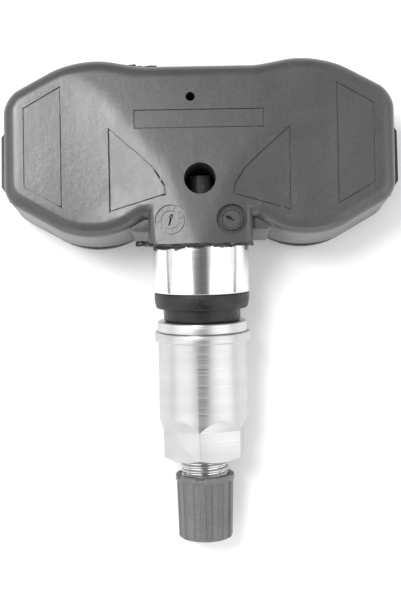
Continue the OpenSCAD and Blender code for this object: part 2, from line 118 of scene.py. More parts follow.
def in_scene(name: str, data: ID) -> Object:
    """Add an object to the scene.

    Args:
        name: Its name.
        data: The mesh, lamp or camera it shows.

    Returns:
        The object, at the origin.
    """
    thing = bpy.data.objects.new(name, data)
    bpy.context.scene.collection.objects.link(thing)
    return thing


def verts_of(geom: Iterable[object]) -> list[bmesh.types.BMVert]:
    """Return the vertices among an operator's results."""
    return [g for g in geom if isinstance(g, bmesh.types.BMVert)]


def bevelled(bm: bmesh.types.BMesh, geom: Sequence[object], width: float, segments: int,
             affect: str = "EDGES", clamp: bool = False) -> None:
    """Bevel edges or corners to round arcs.

    Args:
        bm: The mesh.
        geom: The edges or the corners.
        width: How far the bevel reaches from them.
        segments: Steps across it.
        affect: EDGES or VERTICES.
        clamp: Whether bevels that would overlap are made narrower.
    """
    bmesh.ops.bevel(bm, geom=geom, offset=width, offset_type="OFFSET", segments=segments,
                    profile=0.5, affect=affect, material=-1, clamp_overlap=clamp)


# Shapes


class Shape:
    """A mesh in millimetres in one local frame, shaped by operators."""

    def __init__(self) -> None:
        """Start with an empty mesh."""
        self.bm = bmesh.new()

    @classmethod
    def turned(cls, profile: Sequence[Triple], steps: int = 160) -> "Shape":
        """Spin a profile into a closed body of revolution.

        Args:
            profile: Radius, height and corner rounding of each point, in order.
            steps: Number of steps of the full spin.

        Returns:
            The closed shape, with its axis on z.
        """
        shape = cls()
        bm = shape.bm
        corners = [bm.verts.new((r, 0, z)) for r, z, _ in profile]
        pairs = list(zip(corners, corners[1:]))
        if min(r for r, _, _ in profile) > 0:
            pairs.append((corners[-1], corners[0]))
        for pair in pairs:
            bm.edges.new(pair)
        for corner, (_, _, rounding) in zip(corners, profile):
            if rounding > 0:
                bevelled(bm, [corner], rounding, 4, "VERTICES")
        bmesh.ops.spin(bm, geom=bm.verts[:] + bm.edges[:], cent=(0, 0, 0), axis=(0, 0, 1),
                       dvec=(0, 0, 0), angle=math.tau, steps=steps, use_merge=True,
                       use_duplicate=False)
        bmesh.ops.remove_doubles(bm, verts=bm.verts, dist=MERGE_DIST)
        bmesh.ops.recalc_face_normals(bm, faces=bm.faces)
        return shape

    @classmethod
    def plate(cls, corners: Sequence[Triple], low: float, high: float,
              segments: int = 10) -> "Shape":
        """Extrude a polygon with rounded corners.

        Args:
            corners: Across, up and radius of each corner, counter-clockwise.
            low: Height of the back.
            high: Height of the front.
            segments: Steps in each rounded corner.

        Returns:
            The closed plate.
        """
        shape = cls()
        bm = shape.bm
        verts = [bm.verts.new((x, y, high)) for x, y, _ in corners]
        bm.faces.new(verts)
        count = len(corners)
        for i, (vert, (x, y, radius)) in enumerate(zip(verts, corners)):
            if radius <= 0:
                continue
            before = Vector(corners[i - 1][:2])
            after = Vector(corners[(i + 1) % count][:2])
            here = Vector((x, y))
            bend = abs((here - before).angle_signed(after - here))
            bevelled(bm, [vert], radius * math.tan(bend / 2), segments, "VERTICES")
        back = bmesh.ops.extrude_face_region(bm, geom=bm.faces[:])["geom"]
        bmesh.ops.translate(bm, verts=verts_of(back), vec=(0, 0, low - high))
        bmesh.ops.recalc_face_normals(bm, faces=bm.faces)
        return shape

    def gridded(self, pitch: float, low: float) -> "Shape":
        """Cut the faces that lie wholly above a height along a square grid.

        Args:
            pitch: Distance between the cuts.
            low: The height.

        Returns:
            This shape.
        """
        for axis in (0, 1):
            across = Vector((1 - axis, axis, 0))
            reach = [v.co[axis] for v in self.bm.verts if v.co.z > low]
            for k in range(math.ceil(min(reach) / pitch), math.floor(max(reach) / pitch) + 1):
                near = [f for f in self.bm.faces if all(v.co.z > low for v in f.verts)
                        and min(v.co[axis] for v in f.verts) < k * pitch
                        < max(v.co[axis] for v in f.verts)]
                edges = {e for f in near for e in f.edges}
                verts = {v for f in near for v in f.verts}
                bmesh.ops.bisect_plane(self.bm, geom=[*near, *edges, *verts], dist=CUT_DIST,
                                       plane_co=across * k * pitch, plane_no=across)
        return self

    @classmethod
    def box(cls, low: Sequence[float], high: Sequence[float]) -> "Shape":
        """Make a block.

        Args:
            low: One corner.
            high: The opposite corner.

        Returns:
            The block.
        """
        shape = cls()
        size = Vector(high) - Vector(low)
        middle = (Vector(high) + Vector(low)) / 2
        bmesh.ops.create_cube(shape.bm, size=1,
                              matrix=Matrix.Translation(middle) @ Matrix.Diagonal((*size, 1)))
        return shape

    @classmethod
    def rod(cls, radius: float, low: float, high: float, at: Pair = (0, 0),
            steps: int = 64) -> "Shape":
        """Make a closed cylinder that stands upright.

        Args:
            radius: Its radius.
            low: Height of its foot.
            high: Height of its top.
            at: Across and up of its axis.
            steps: Steps round it.

        Returns:
            The cylinder.
        """
        shape = cls()
        place = Matrix.Translation((*at, (low + high) / 2))
        bmesh.ops.create_cone(shape.bm, cap_ends=True, segments=steps, radius1=radius,
                              radius2=radius, depth=high - low, matrix=place)
        return shape

    @classmethod
    def of_node(cls, node: str, place: Matrix) -> "Shape":
        """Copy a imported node's mesh.

        Args:
            node: The node.
            place: The frame the copy is drawn in.

        Returns:
            The copy, with its points merged and its flat faces joined.
        """
        shape = cls()
        shape.bm.from_mesh(frame["nodes"][node].data)
        local = (Matrix.Scale(MM, 4) @ place).inverted()
        bmesh.ops.transform(shape.bm, matrix=local, verts=shape.bm.verts)
        bmesh.ops.remove_doubles(shape.bm, verts=shape.bm.verts, dist=MERGE_DIST)
        bmesh.ops.dissolve_limit(shape.bm, angle_limit=math.radians(0.3), verts=shape.bm.verts,
                                 edges=shape.bm.edges)
        return shape

    def placed(self, place: Matrix) -> "Shape":
        """Transform the shape and return it."""
        bmesh.ops.transform(self.bm, matrix=place, verts=self.bm.verts)
        return self

    def add_loose(self, other: "Shape") -> "Shape":
        """Put another shape beside this one without joining their surfaces.

        Args:
            other: The shape to add.

        Returns:
            This shape.
        """
        mesh = bpy.data.meshes.new("part")
        other.bm.to_mesh(mesh)
        self.bm.from_mesh(mesh)
        bpy.data.meshes.remove(mesh)
        return self

    def combined(self, other: "Shape", how: Joining) -> "Shape":
        """Add another closed shape to this one or cut it out.

        Args:
            other: The closed shape to add or cut.
            how: Whether it is added or cut.

        Returns:
            This shape.
        """
        objects = []
        for shape in (self, other):
            mesh = bpy.data.meshes.new("part")
            shape.bm.to_mesh(mesh)
            objects.append(in_scene("part", mesh))
        base, tool = objects
        change = base.modifiers.new("join", "BOOLEAN")
        change.operation = how.value
        change.solver = "EXACT"
        change.use_self = True
        change.object = tool
        bpy.context.view_layer.update()
        seen = base.evaluated_get(bpy.context.evaluated_depsgraph_get())
        result = bpy.data.meshes.new_from_object(seen)
        self.bm.clear()
        self.bm.from_mesh(result)
        bpy.data.meshes.remove(result)
        for thing in objects:
            mesh = thing.data
            bpy.data.objects.remove(thing)
            bpy.data.meshes.remove(mesh)
        bmesh.ops.remove_doubles(self.bm, verts=self.bm.verts, dist=MERGE_DIST)
        return self

    def softened(self, width: float, degrees: float = 35, segments: int = 2,
                 keep: Optional[Callable[[bmesh.types.BMEdge], bool]] = None) -> "Shape":
        """Bevel the edges that are sharper than an angle.

        Args:
            width: Width of the bevel.
            degrees: Angle between faces above which an edge is bevelled.
            segments: Steps across the bevel.
            keep: Test that an edge must pass to be bevelled.

        Returns:
            This shape.
        """
        limit = math.radians(degrees)
        edges = [e for e in self.bm.edges
                 if len(e.link_faces) == 2 and e.calc_face_angle() > limit
                 and (keep is None or keep(e))]
        bevelled(self.bm, edges, width, segments, clamp=True)
        return self

    def moved(self, change: Callable[[Vector], Vector]) -> "Shape":
        """Move every point.

        Args:
            change: Gives a point's new place from its old one.

        Returns:
            This shape.
        """
        for vert in self.bm.verts:
            vert.co = change(vert.co)
        return self

    def as_piece(self, name: str, place: Matrix, body: Body, slot: str,
                 material: Material, sharp: float = 32) -> Object:
        """Make the shape an object of the scene.

        Args:
            name: The piece's name.
            place: The frame the shape is drawn in.
            body: The body it rides on.
            slot: The record's material slot; not used.
            material: The finish.
            sharp: Angle in degrees above which an edge shades sharp.

        Returns:
            The object, at the origin and with its place in its mesh.
        """
        bmesh.ops.transform(self.bm, matrix=Matrix.Scale(MM, 4) @ place, verts=self.bm.verts)
        for face in self.bm.faces:
            face.smooth = True
        mesh = bpy.data.meshes.new(name)
        self.bm.to_mesh(mesh)
        self.bm.free()
        mesh.set_sharp_from_angle(angle=math.radians(sharp))
        piece = in_scene(name, mesh)
        mesh.materials.append(material)
        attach(piece, body.value)
        LOG.info("%s: %d faces", name, len(mesh.polygons))
        return piece


# Finishes


def fill_ramp(band: ColorRamp,
              stops: Sequence[tuple[float, Triple]]) -> None:
    """Set the stops of a new colour ramp.

    Args:
        band: The ramp.
        stops: Position and linear colour of each stop.
    """
    while len(band.elements) < len(stops):
        band.elements.new(0.5)
    for element, (place, colour) in zip(band.elements, stops):
        element.position = place
        element.color = (*colour, 1)


class NodeBoard:
    """A new material and short calls that add and wire its nodes."""

    def __init__(self, name: str) -> None:
        """Start a material with only its output and its main shader.

        Args:
            name: The material's name.
        """
        self.material = bpy.data.materials.new(name)
        self.material.use_nodes = True
        self.tree = self.material.node_tree
        self.shader = self.tree.nodes["Principled BSDF"]
        self.coords = self.tree.nodes.new("ShaderNodeTexCoord")

    def link(self, source: NodeSocket, target: NodeSocket) -> None:
        """Wire one socket to another."""
        self.tree.links.new(source, target)

    def noise(self, scale: float, detail: float = 3, stretch: Sequence[float] = (1, 1, 1),
              turn: Sequence[float] = (0, 0, 0), distortion: float = 0) -> NodeSocket:
        """Add noise on object coordinates.

        Args:
            scale: Waves to a metre.
            detail: Octaves of finer noise.
            stretch: Factors on the three coordinates.
            turn: Turn of the pattern in radians.
            distortion: How much the pattern is warped.

        Returns:
            The noise's factor.
        """
        mapping = self.tree.nodes.new("ShaderNodeMapping")
        mapping.vector_type = "TEXTURE"
        mapping.inputs["Rotation"].default_value = turn
        mapping.inputs["Scale"].default_value = [1 / s for s in stretch]
        texture = self.tree.nodes.new("ShaderNodeTexNoise")
        texture.inputs["Scale"].default_value = scale
        texture.inputs["Detail"].default_value = detail
        texture.inputs["Distortion"].default_value = distortion
        self.link(self.coords.outputs["Object"], mapping.inputs["Vector"])
        self.link(mapping.outputs["Vector"], texture.inputs["Vector"])
        return texture.outputs["Fac"]

    def ramp(self, factor: NodeSocket,
             stops: Sequence[tuple[float, Triple]]) -> NodeSocket:
        """Add a colour ramp.

        Args:
            factor: What it is read by.
            stops: Position and linear colour of each stop.

        Returns:
            The ramp's colour.
        """
        ramp = self.tree.nodes.new("ShaderNodeValToRGB")
        fill_ramp(ramp.color_ramp, stops)
        self.link(factor, ramp.inputs["Fac"])
        return ramp.outputs["Color"]

    def mixed(self, first: NodeSocket, second: NodeSocket, share: float,
              blend: str) -> NodeSocket:
        """Mix two colours.

        Args:
            first: The colour underneath.
            second: The colour on top.
            share: How strongly the second counts.
            blend: The kind of mixing.

        Returns:
            The mixed colour.
        """
        mix = self.tree.nodes.new("ShaderNodeMix")
        mix.data_type = "RGBA"
        mix.blend_type = blend
        mix.inputs[0].default_value = share
        self.link(first, mix.inputs[6])
        self.link(second, mix.inputs[7])
        return mix.outputs[2]

    def spread(self, factor: NodeSocket, low: float, high: float) -> NodeSocket:
        """Map a noise onto a range of values.

        Args:
            factor: The noise's factor.
            low: Value at the noise's usual low.
            high: Value at its usual high.

        Returns:
            The value.
        """
        spread = self.tree.nodes.new("ShaderNodeMapRange")
        for socket, value in zip(("From Min", "From Max", "To Min", "To Max"),
                                 (NOISE_LOW, NOISE_HIGH, low, high)):
            spread.inputs[socket].default_value = value
        self.link(factor, spread.inputs["Value"])
        return spread.outputs["Result"]

    def bump(self, *heights: tuple[NodeSocket, float]) -> None:
        """Chain bumps into the shader's normal.

        Args:
            heights: Height and depth in metres of each bump.
        """
        target = self.shader.inputs["Normal"]
        for height, depth in reversed(heights):
            bump = self.tree.nodes.new("ShaderNodeBump")
            bump.inputs["Strength"].default_value = 1
            bump.inputs["Distance"].default_value = depth
            self.link(height, bump.inputs["Height"])
            self.link(bump.outputs["Normal"], target)
            target = bump.inputs["Normal"]

    def set(self, socket: str, value: float) -> None:
        """Set a constant on the main shader."""
        self.shader.inputs[socket].default_value = value

    def feed(self, socket: str, source: NodeSocket) -> None:
        """Feed a source into the main shader."""
        self.link(source, self.shader.inputs[socket])


def shade(grey: float, tint: Sequence[float] = (1, 1, 1)) -> Triple:
    """Turn a display grey into a linear colour.

    Args:
        grey: The grey, from 0 to 255.
        tint: Factors on the three channels.

    Returns:
        The colour.
    """
    linear = (grey / 255) ** 2.2
    return tuple(linear * t for t in tint)


@dataclass(frozen=True)
class Finish:
    """A named material that wires itself from its own values."""

    name: str

    def wire(self, board: NodeBoard) -> None:
        """Wire the finish's nodes on a new board."""
        raise NotImplementedError

    def make(self) -> Material:
        """Make the finish's material.

        Returns:
            The material.
        """
        board = NodeBoard(self.name)
        self.wire(board)
        return board.material


@dataclass(frozen=True)
class MouldedPlastic(Finish):
    """Matt moulded plastic with faint flow clouds, grain and scuffs."""

    grey: float
    tint: Triple = (1, 1, 1.02)
    cloud: float = 0.04
    roughness: float = 0.31
    grain: float = 0.000009
    specular: float = 0.6

    def wire(self, board: NodeBoard) -> None:
        """Wire the colour, the roughness and the bumps.

        Args:
            board: The board of the new material.
        """
        clouds = board.noise(160, 4, distortion=0.6)
        speckle = board.noise(2600, 2)
        scuffs = board.noise(420, 5, stretch=(1, 0.25, 1), distortion=1.2)
        low = shade(self.grey * (1 - self.cloud), self.tint)
        high = shade(self.grey * (1 + self.cloud), self.tint)
        body = board.ramp(clouds, ((NOISE_LOW, low), (NOISE_HIGH, high)))
        fine = board.ramp(speckle, ((0.32, (0.84,) * 3), (0.6, (1.04,) * 3)))
        colour = board.mixed(body, fine, 1.0, "MULTIPLY")
        worn = board.ramp(scuffs, ((0.66, (0,) * 3), (0.78, (0.16,) * 3)))
        board.feed("Base Color", board.mixed(colour, worn, 0.22, "ADD"))
        board.feed("Roughness", board.spread(scuffs, self.roughness - 0.02,
                                             self.roughness + 0.03))
        board.set("Specular IOR Level", self.specular)
        board.bump((speckle, self.grain), (board.noise(900, 3), self.grain * 2))


@dataclass(frozen=True)
class TurnedMetal(Finish):
    """Metal cut on a lathe: fine rings round the stem's axis, smears and small nicks."""

    grey: float
    tint: Triple = (1, 1, 1)
    roughness: float = 0.2
    ring_depth: float = 0.0000015
    ring_scale: float = 3200
    smear: float = 0.02

    def wire(self, board: NodeBoard) -> None:
        """Wire the colour, the roughness and the bumps.

        Args:
            board: The board of the new material.
        """
        turn = PLACES.stem().to_euler()
        rings = board.noise(self.ring_scale, 2, stretch=(0.004, 0.004, 1), turn=turn)
        broad = board.noise(340, 3, stretch=(0.1, 0.1, 1), turn=turn)
        stains = board.noise(260, 4, distortion=0.8)
        low = shade(self.grey * (1 - self.smear), self.tint)
        high = shade(min(250, self.grey * (1 + self.smear)), self.tint)
        colour = board.ramp(broad, ((0.35, low), (0.65, high)))
        dull = board.ramp(stains, ((0.3, (0.95,) * 3), (0.6, (1,) * 3)))
        board.feed("Base Color", board.mixed(colour, dull, 1.0, "MULTIPLY"))
        board.set("Metallic", 1)
        board.feed("Roughness", board.spread(rings, self.roughness * 0.75,
                                             self.roughness * 1.35))
        board.bump((rings, self.ring_depth))


@dataclass(frozen=True)
class Rubber(Finish):
    """Black moulded rubber with a faint sheen and dusty patches."""

    grey: float = 24
    roughness: float = 0.42
    pore_depth: float = 0.000008
    dust_depth: float = 0.00002

    def wire(self, board: NodeBoard) -> None:
        """Wire the colour, the roughness and the bumps.

        Args:
            board: The board of the new material.
        """
        dust = board.noise(700, 5, distortion=1)
        pores = board.noise(5200, 2)
        colour = board.ramp(dust, ((0.35, shade(self.grey * 0.8)), (0.7, shade(self.grey * 1.35))))
        board.feed("Base Color", colour)
        board.feed("Roughness", board.spread(dust, self.roughness - 0.1, self.roughness + 0.16))
        board.bump((pores, self.pore_depth), (dust, self.dust_depth))


@dataclass(frozen=True)
class PlainMetal(Finish):
    """Plated or drawn metal of an inner piece, with brushed streaks and tarnish."""

    colour: Triple
    roughness: float = 0.32
    streak_depth: float = 0.000005

    def wire(self, board: NodeBoard) -> None:
        """Wire the colour, the roughness and the bumps.

        Args:
            board: The board of the new material.
        """
        streaks = board.noise(1500, 3, stretch=(1, 0.08, 1))
        tarnish = board.noise(500, 4, distortion=0.7)
        dark = tuple(c * 0.72 for c in self.colour)
        board.feed("Base Color", board.ramp(tarnish, ((0.3, dark), (0.62, self.colour))))
        board.set("Metallic", 1)
        board.feed("Roughness", board.spread(streaks, self.roughness - 0.08,
                                             self.roughness + 0.12))
        board.bump((streaks, self.streak_depth))


@dataclass(frozen=True)
class InnerResin(Finish):
    """Resin, board lacquer, ceramic or ferrite of an inner piece."""

    colour: Triple
    roughness: float = 0.4
    scale: float = 900
    grain: float = 0.00001

    def wire(self, board: NodeBoard) -> None:
        """Wire the colour, the roughness and the bumps.

        Args:
            board: The board of the new material.
        """
        cloud = board.noise(self.scale, 4, distortion=0.5)
        dark = tuple(c * 0.7 for c in self.colour)
        board.feed("Base Color", board.ramp(cloud, ((0.3, dark), (0.66, self.colour))))
        board.feed("Roughness", board.spread(cloud, self.roughness - 0.08,
                                             self.roughness + 0.12))
        board.bump((board.noise(self.scale * 4, 2), self.grain))


# The housing


@dataclass(frozen=True)
class SunkenField:
    """A field let into the face, with a deeper groove along its edge.

    The corners run counter-clockwise on the right side, and a side of -1 mirrors them.
    """

    corners: tuple[Pair, ...]
    side: int
    floor: float
    groove: float
    width: float
    pitch: float = 2.0

    def cutter(self, drop: Callable[[Vector], Vector]) -> Shape:
        """Make the tool that lets the field into the face.

        Args:
            drop: Lowers a point onto the face.

        Returns:
            One closed shape, whose grid of cuts lets it follow the face.
        """
        corners = [(self.side * x, y, 0) for x, y in self.corners][::self.side]
        shape = Shape.plate(corners, -CLEAR, self.groove)
        bm = shape.bm
        deepest = [f for f in bm.faces
                   if all(v.co.z > self.groove - MERGE_DIST for v in f.verts)]
        bmesh.ops.inset_region(bm, faces=deepest, thickness=self.width, use_even_offset=True)
        middle = bmesh.ops.extrude_face_region(bm, geom=deepest)["geom"]
        bmesh.ops.translate(bm, vec=(0, 0, self.floor - self.groove), verts=verts_of(middle))
        shape.gridded(self.pitch, 0).placed(Matrix.Scale(-1, 4, (0, 0, 1))).moved(drop)
        bmesh.ops.recalc_face_normals(bm, faces=bm.faces)
        return shape


PANEL = ((21, 24.7), (21, 6.05), (26.75, 9.3), (26.75, 21.4))
TRIANGLE = ((13.85, 18.1), (9.2, 14), (6.6, 11.5), (5.2, 9.1), (5, 7.7), (13.8, 5.2))
NUMBER_FRAME = ((-9.9, 17.85), (9.9, 17.85), (9.9, 20.75), (-9.9, 20.75))
FIELDS = (
    SunkenField(PANEL, -1, 0.18, 0.34, 0.15), SunkenField(PANEL, 1, 0.14, 0.26, 0.12),
    SunkenField(TRIANGLE, -1, 0.24, 0.62, 0.3), SunkenField(TRIANGLE, 1, 0.12, 0.28, 0.13),
    SunkenField(NUMBER_FRAME, 1, 0.1, 0.3, 0.14),
)


@dataclass(frozen=True)
class DateWheel:
    """A moulded date wheel: a groove round its edge, an inner ring, an arrow and ticks."""

    x: float
    turn: float
    groove_width: float
    groove_depth: float
    tick_span: Pair
    y: float = 3.8
    radius: float = 2.34
    ring: Triple = (1.3, 1.46, 0.2)
    arrow_half: Pair = (0.14, 0.95)
    arrow_depth: float = 0.22
    head_half: float = 0.42
    head_span: Pair = (0.3, 1.05)
    head_depth: float = 0.26
    tick_half: float = 0.1
    tick_depth: float = 0.16
    ticks: int = 12

    def cutters(self, fall: Callable[[float, float], float]) -> list[Shape]:
        """Make the tools that cut the wheel into the face.

        Args:
            fall: Tells how far the face lies below its middle at a place.

        Returns:
            A closed shape for each groove, slot and tick.
        """
        lean = math.atan2(fall(self.x - 1, self.y) - fall(self.x + 1, self.y), 2)
        place = Matrix.Translation((self.x, self.y, -fall(self.x, self.y)))
        place @= Matrix.Rotation(-lean, 4, "Y")
        made = []
        groove = (self.radius - self.groove_width, self.radius, self.groove_depth)
        for inner, outer, depth in (groove, self.ring):
            made.append(Shape.turned(((inner, -depth, 0), (outer, -depth, 0), (outer, CLEAR, 0),
                                      (inner, CLEAR, 0)), 72).placed(place))
        pointer = place @ Matrix.Rotation(math.radians(self.turn), 4, "Z")
        half, reach = self.arrow_half
        made.append(Shape.box((-half, -reach, -self.arrow_depth),
                              (half, reach, CLEAR)).placed(pointer))
        start, tip = self.head_span
        head = Shape.plate(((-self.head_half, start, 0), (self.head_half, start, 0),
                            (0, tip, 0)), -self.head_depth, CLEAR)
        made.append(head.placed(pointer))
        low, high = self.tick_span
        for k in range(self.ticks):
            spoke = Matrix.Rotation(math.tau * (k + 0.3) / self.ticks, 4, "Z")
            tick = Shape.box((-self.tick_half, low, -self.tick_depth),
                             (self.tick_half, high, CLEAR))
            made.append(tick.placed(place @ spoke))
        return made


WHEELS = (DateWheel(-4.55, -14, 0.22, 0.3, (1.62, 1.98)),
          DateWheel(4.72, 60, 0.72, 0.75, (1.5, 1.6)))


@dataclass
class Housing:
    """The moulded housing: two lobes whose faces fall away from a flat middle, and the neck."""

    back: float = -14.6
    edge_r: float = 2.0
    neck_half: float = 7.95
    neck_span: Pair = (-1.0, 7.0)
    neck_back: float = 8.3
    neck_round: float = 1.1
    neck_soft: float = 0.45
    ramp_top: float = 0.2
    ramp_round: float = 5.0
    ramp_len: float = 4.95
    pad_out: float = 11.0
    pad_span: Pair = (2.5, 5.0)
    pad_cut: float = 0.6
    pad_round: float = 0.3
    pad_step: float = 0.6
    pad_soft: float = 0.35
    wall: float = 1.6
    front_wall: float = 3.4
    core_x: float = 7.7
    core_v: float = 13.7
    crease_low: Pair = (0.6, 0.0)
    crease_bend: Pair = (5.7, 12.6)
    crease_top: Pair = (17.86, 26.78)
    wing_fall: float = 6.0
    outer_fall: float = 3.35
    crease_soft: float = 0.7
    fold_soft: float = 0.34
    outlet_v: float = 10.1
    outlet_r: float = 2.4
    port: Pair = (-1.26, 22.7)
    port_r: float = 0.7
    duct_r: float = 1.7
    duct_len: float = 10.3
    grid: float = 0.8
    right_half: tuple[Triple, ...] = (
        (8.55, 4.35, 0.5), (16.15, -0.25, 11.5), (29.9, 7.6, 3.6),
        (29.9, 23.35, 4.3), (18.3, 29.6, 14), (9, 27.85, 10),
    )

    def outline(self) -> list[Triple]:
        """Return the outline's corners with their radii, counter-clockwise."""
        left = [(-x, y, r) for x, y, r in reversed(self.right_half)]
        return [*self.right_half, *left]

    def fall(self, x: float, y: float) -> float:
        """Tell how far the front face lies below its middle.

        Args:
            x: Across the face.
            y: Up the face.

        Returns:
            The fall at that place.
        """
        past = math.inf
        for start, end in ((self.crease_low, self.crease_bend),
                           (self.crease_bend, self.crease_top)):
            along = (Vector(end) - Vector(start)).normalized()
            place = Vector((abs(x), y)) - Vector(start)
            past = min(past, place.dot(Vector((along.y, -along.x))))
        past = (past + math.hypot(past, self.crease_soft)) / 2
        facet = past * math.tan(math.radians(self.wing_fall))
        below = self.crease_top[1] - y
        below = (below + math.hypot(below, self.crease_soft)) / 2
        outer = below * math.tan(math.radians(self.outer_fall))
        share = min(1, max(0, 0.5 + (outer - facet) / (2 * self.fold_soft)))
        blend = self.fold_soft * share * (1 - share)
        return max(0, facet * share + outer * (1 - share) - blend)

    def drop(self, co: Vector) -> Vector:
        """Lower a point onto the wings by the fall at its place."""
        return Vector((co.x, co.y, co.z - self.fall(co.x, co.y)))

    def body(self) -> Shape:
        """Make the solid form.

        Returns:
            The two lobes with their rounded front edge, the neck and its pads.
        """
        shape = Shape.plate(self.outline(), self.back, 0)
        bm = shape.bm
        rim = [e for e in bm.edges if all(abs(v.co.z) < CUT_DIST for v in e.verts)]
        bevelled(bm, rim, self.edge_r, 8)
        for extra in (self.neck(), *self.pads()):
            shape.combined(extra, Joining.ADD)
        shape.gridded(self.grid, -MERGE_DIST)
        low = -self.edge_r - HAIR
        return shape.moved(lambda co: self.drop(co) if co.z > low else co)

    def neck(self) -> Shape:
        """Make the neck.

        Returns:
            The neck, flush with the face in front and with a rounded ramp behind.
        """
        to_stem = PLACES.stem().inverted() @ PLACES.housing()
        half, (low, high) = self.neck_half, self.neck_span
        front = Shape.box((-half, low, -PLACES.face_height), (half, high, 0))
        bm = front.bm
        sides = [e for e in bm.edges if all(v.co.z > -1 for v in e.verts)
                 and abs(e.verts[0].co.x - e.verts[1].co.x) < CUT_DIST]
        bevelled(bm, sides, self.neck_round, 6)
        front.placed(to_stem)
        cut = bmesh.ops.bisect_plane(bm, geom=bm.verts[:] + bm.edges[:] + bm.faces[:],
                                     dist=CUT_DIST, plane_co=(0, 0, PLACES.neck_at),
                                     plane_no=(0, 0, 1), clear_outer=True)
        rim = [g for g in cut["geom_cut"] if isinstance(g, bmesh.types.BMEdge)]
        bmesh.ops.edgeloop_fill(bm, edges=rim)
        foot, top, arc = -self.neck_back, self.ramp_top, self.ramp_round
        ramp = Shape.plate(((-half, top, 0), (-half, foot, arc), (half, foot, arc),
                            (half, top, 0)), PLACES.neck_at - self.ramp_len, PLACES.neck_at, 12)
        front.combined(ramp, Joining.ADD)
        bmesh.ops.recalc_face_normals(bm, faces=bm.faces)
        front.softened(self.neck_soft, 50, 3,
                       lambda e: all(v.co.z > PLACES.neck_at - HAIR for v in e.verts))
        return front.placed(to_stem.inverted())

    def pads(self) -> list[Shape]:
        """Make the pad at each side of the neck.

        Returns:
            The left and the right pad.
        """
        made = []
        root, out, (low, high) = self.neck_half - 1, self.pad_out, self.pad_span
        right = [(root, low, 0), (out - self.pad_cut, low, self.pad_round),
                 (out, low + self.pad_cut, self.pad_round), (out, high, 0), (root, high, 0)]
        left = [(-x, y, r) for x, y, r in reversed(right)]
        for corners in (left, right):
            pad = Shape.plate(corners, self.back + HAIR, -self.edge_r - self.pad_step, 4)
            made.append(pad.softened(self.pad_soft, 50, 3))
        return made

    def bores(self) -> list[Shape]:
        """Make the round cutters.

        Returns:
            Those of the air outlet, the pressure port and the duct to the stem.
        """
        outlet = Shape.rod(self.outlet_r, -PLACES.face_height - self.duct_r, CLEAR,
                           (0, self.outlet_v), 96)
        port = Shape.rod(self.port_r, -self.front_wall - 0.2, CLEAR, self.port, 48)
        to_housing = PLACES.housing().inverted() @ PLACES.stem()
        neck = PLACES.neck_at
        duct = Shape.rod(self.duct_r, neck - self.duct_len, neck + 0.1).placed(to_housing)
        return [outlet, port, duct]

    def inner_space(self) -> Shape:
        """Make the cutter of the space behind the front wall.

        Returns:
            The outline moved in by the wall's thickness, without the block round the duct.
        """
        space = Shape.plate(self.outline(), self.back - CLEAR, -self.front_wall)
        upright = [e for e in space.bm.edges if abs(e.verts[0].co.z - e.verts[1].co.z) > 1]
        sides = {f for e in upright for f in e.link_faces}
        for vert in space.bm.verts:
            outs = [f.normal for f in vert.link_faces if f in sides]
            shift = sum(outs, Vector())
            if shift.length > 0:
                unit = shift.normalized()
                vert.co -= unit * self.wall / max(0.5, unit.dot(outs[0]))
        block = Shape.box((-self.core_x, -5, self.back - 3), (self.core_x, self.core_v, CLEAR))
        return space.combined(block, Joining.CUT)

    def make(self, material: Material) -> None:
        """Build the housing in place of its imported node.

        Args:
            material: Its finish.
        """
        shape = self.body()
        shape.combined(self.inner_space(), Joining.CUT)
        fields = [sunken.cutter(self.drop) for sunken in FIELDS]
        wheels = [cutter for wheel in WHEELS for cutter in wheel.cutters(self.fall)]
        for cutters in (fields, self.bores(), wheels):
            tool = Shape()
            for cutter in cutters:
                tool.add_loose(cutter)
            shape.combined(tool, Joining.CUT)
        piece = shape.as_piece("housing_shell", PLACES.housing(), Body.SENSOR,
                               "housing_plastic", material, 28)
        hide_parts("housing")


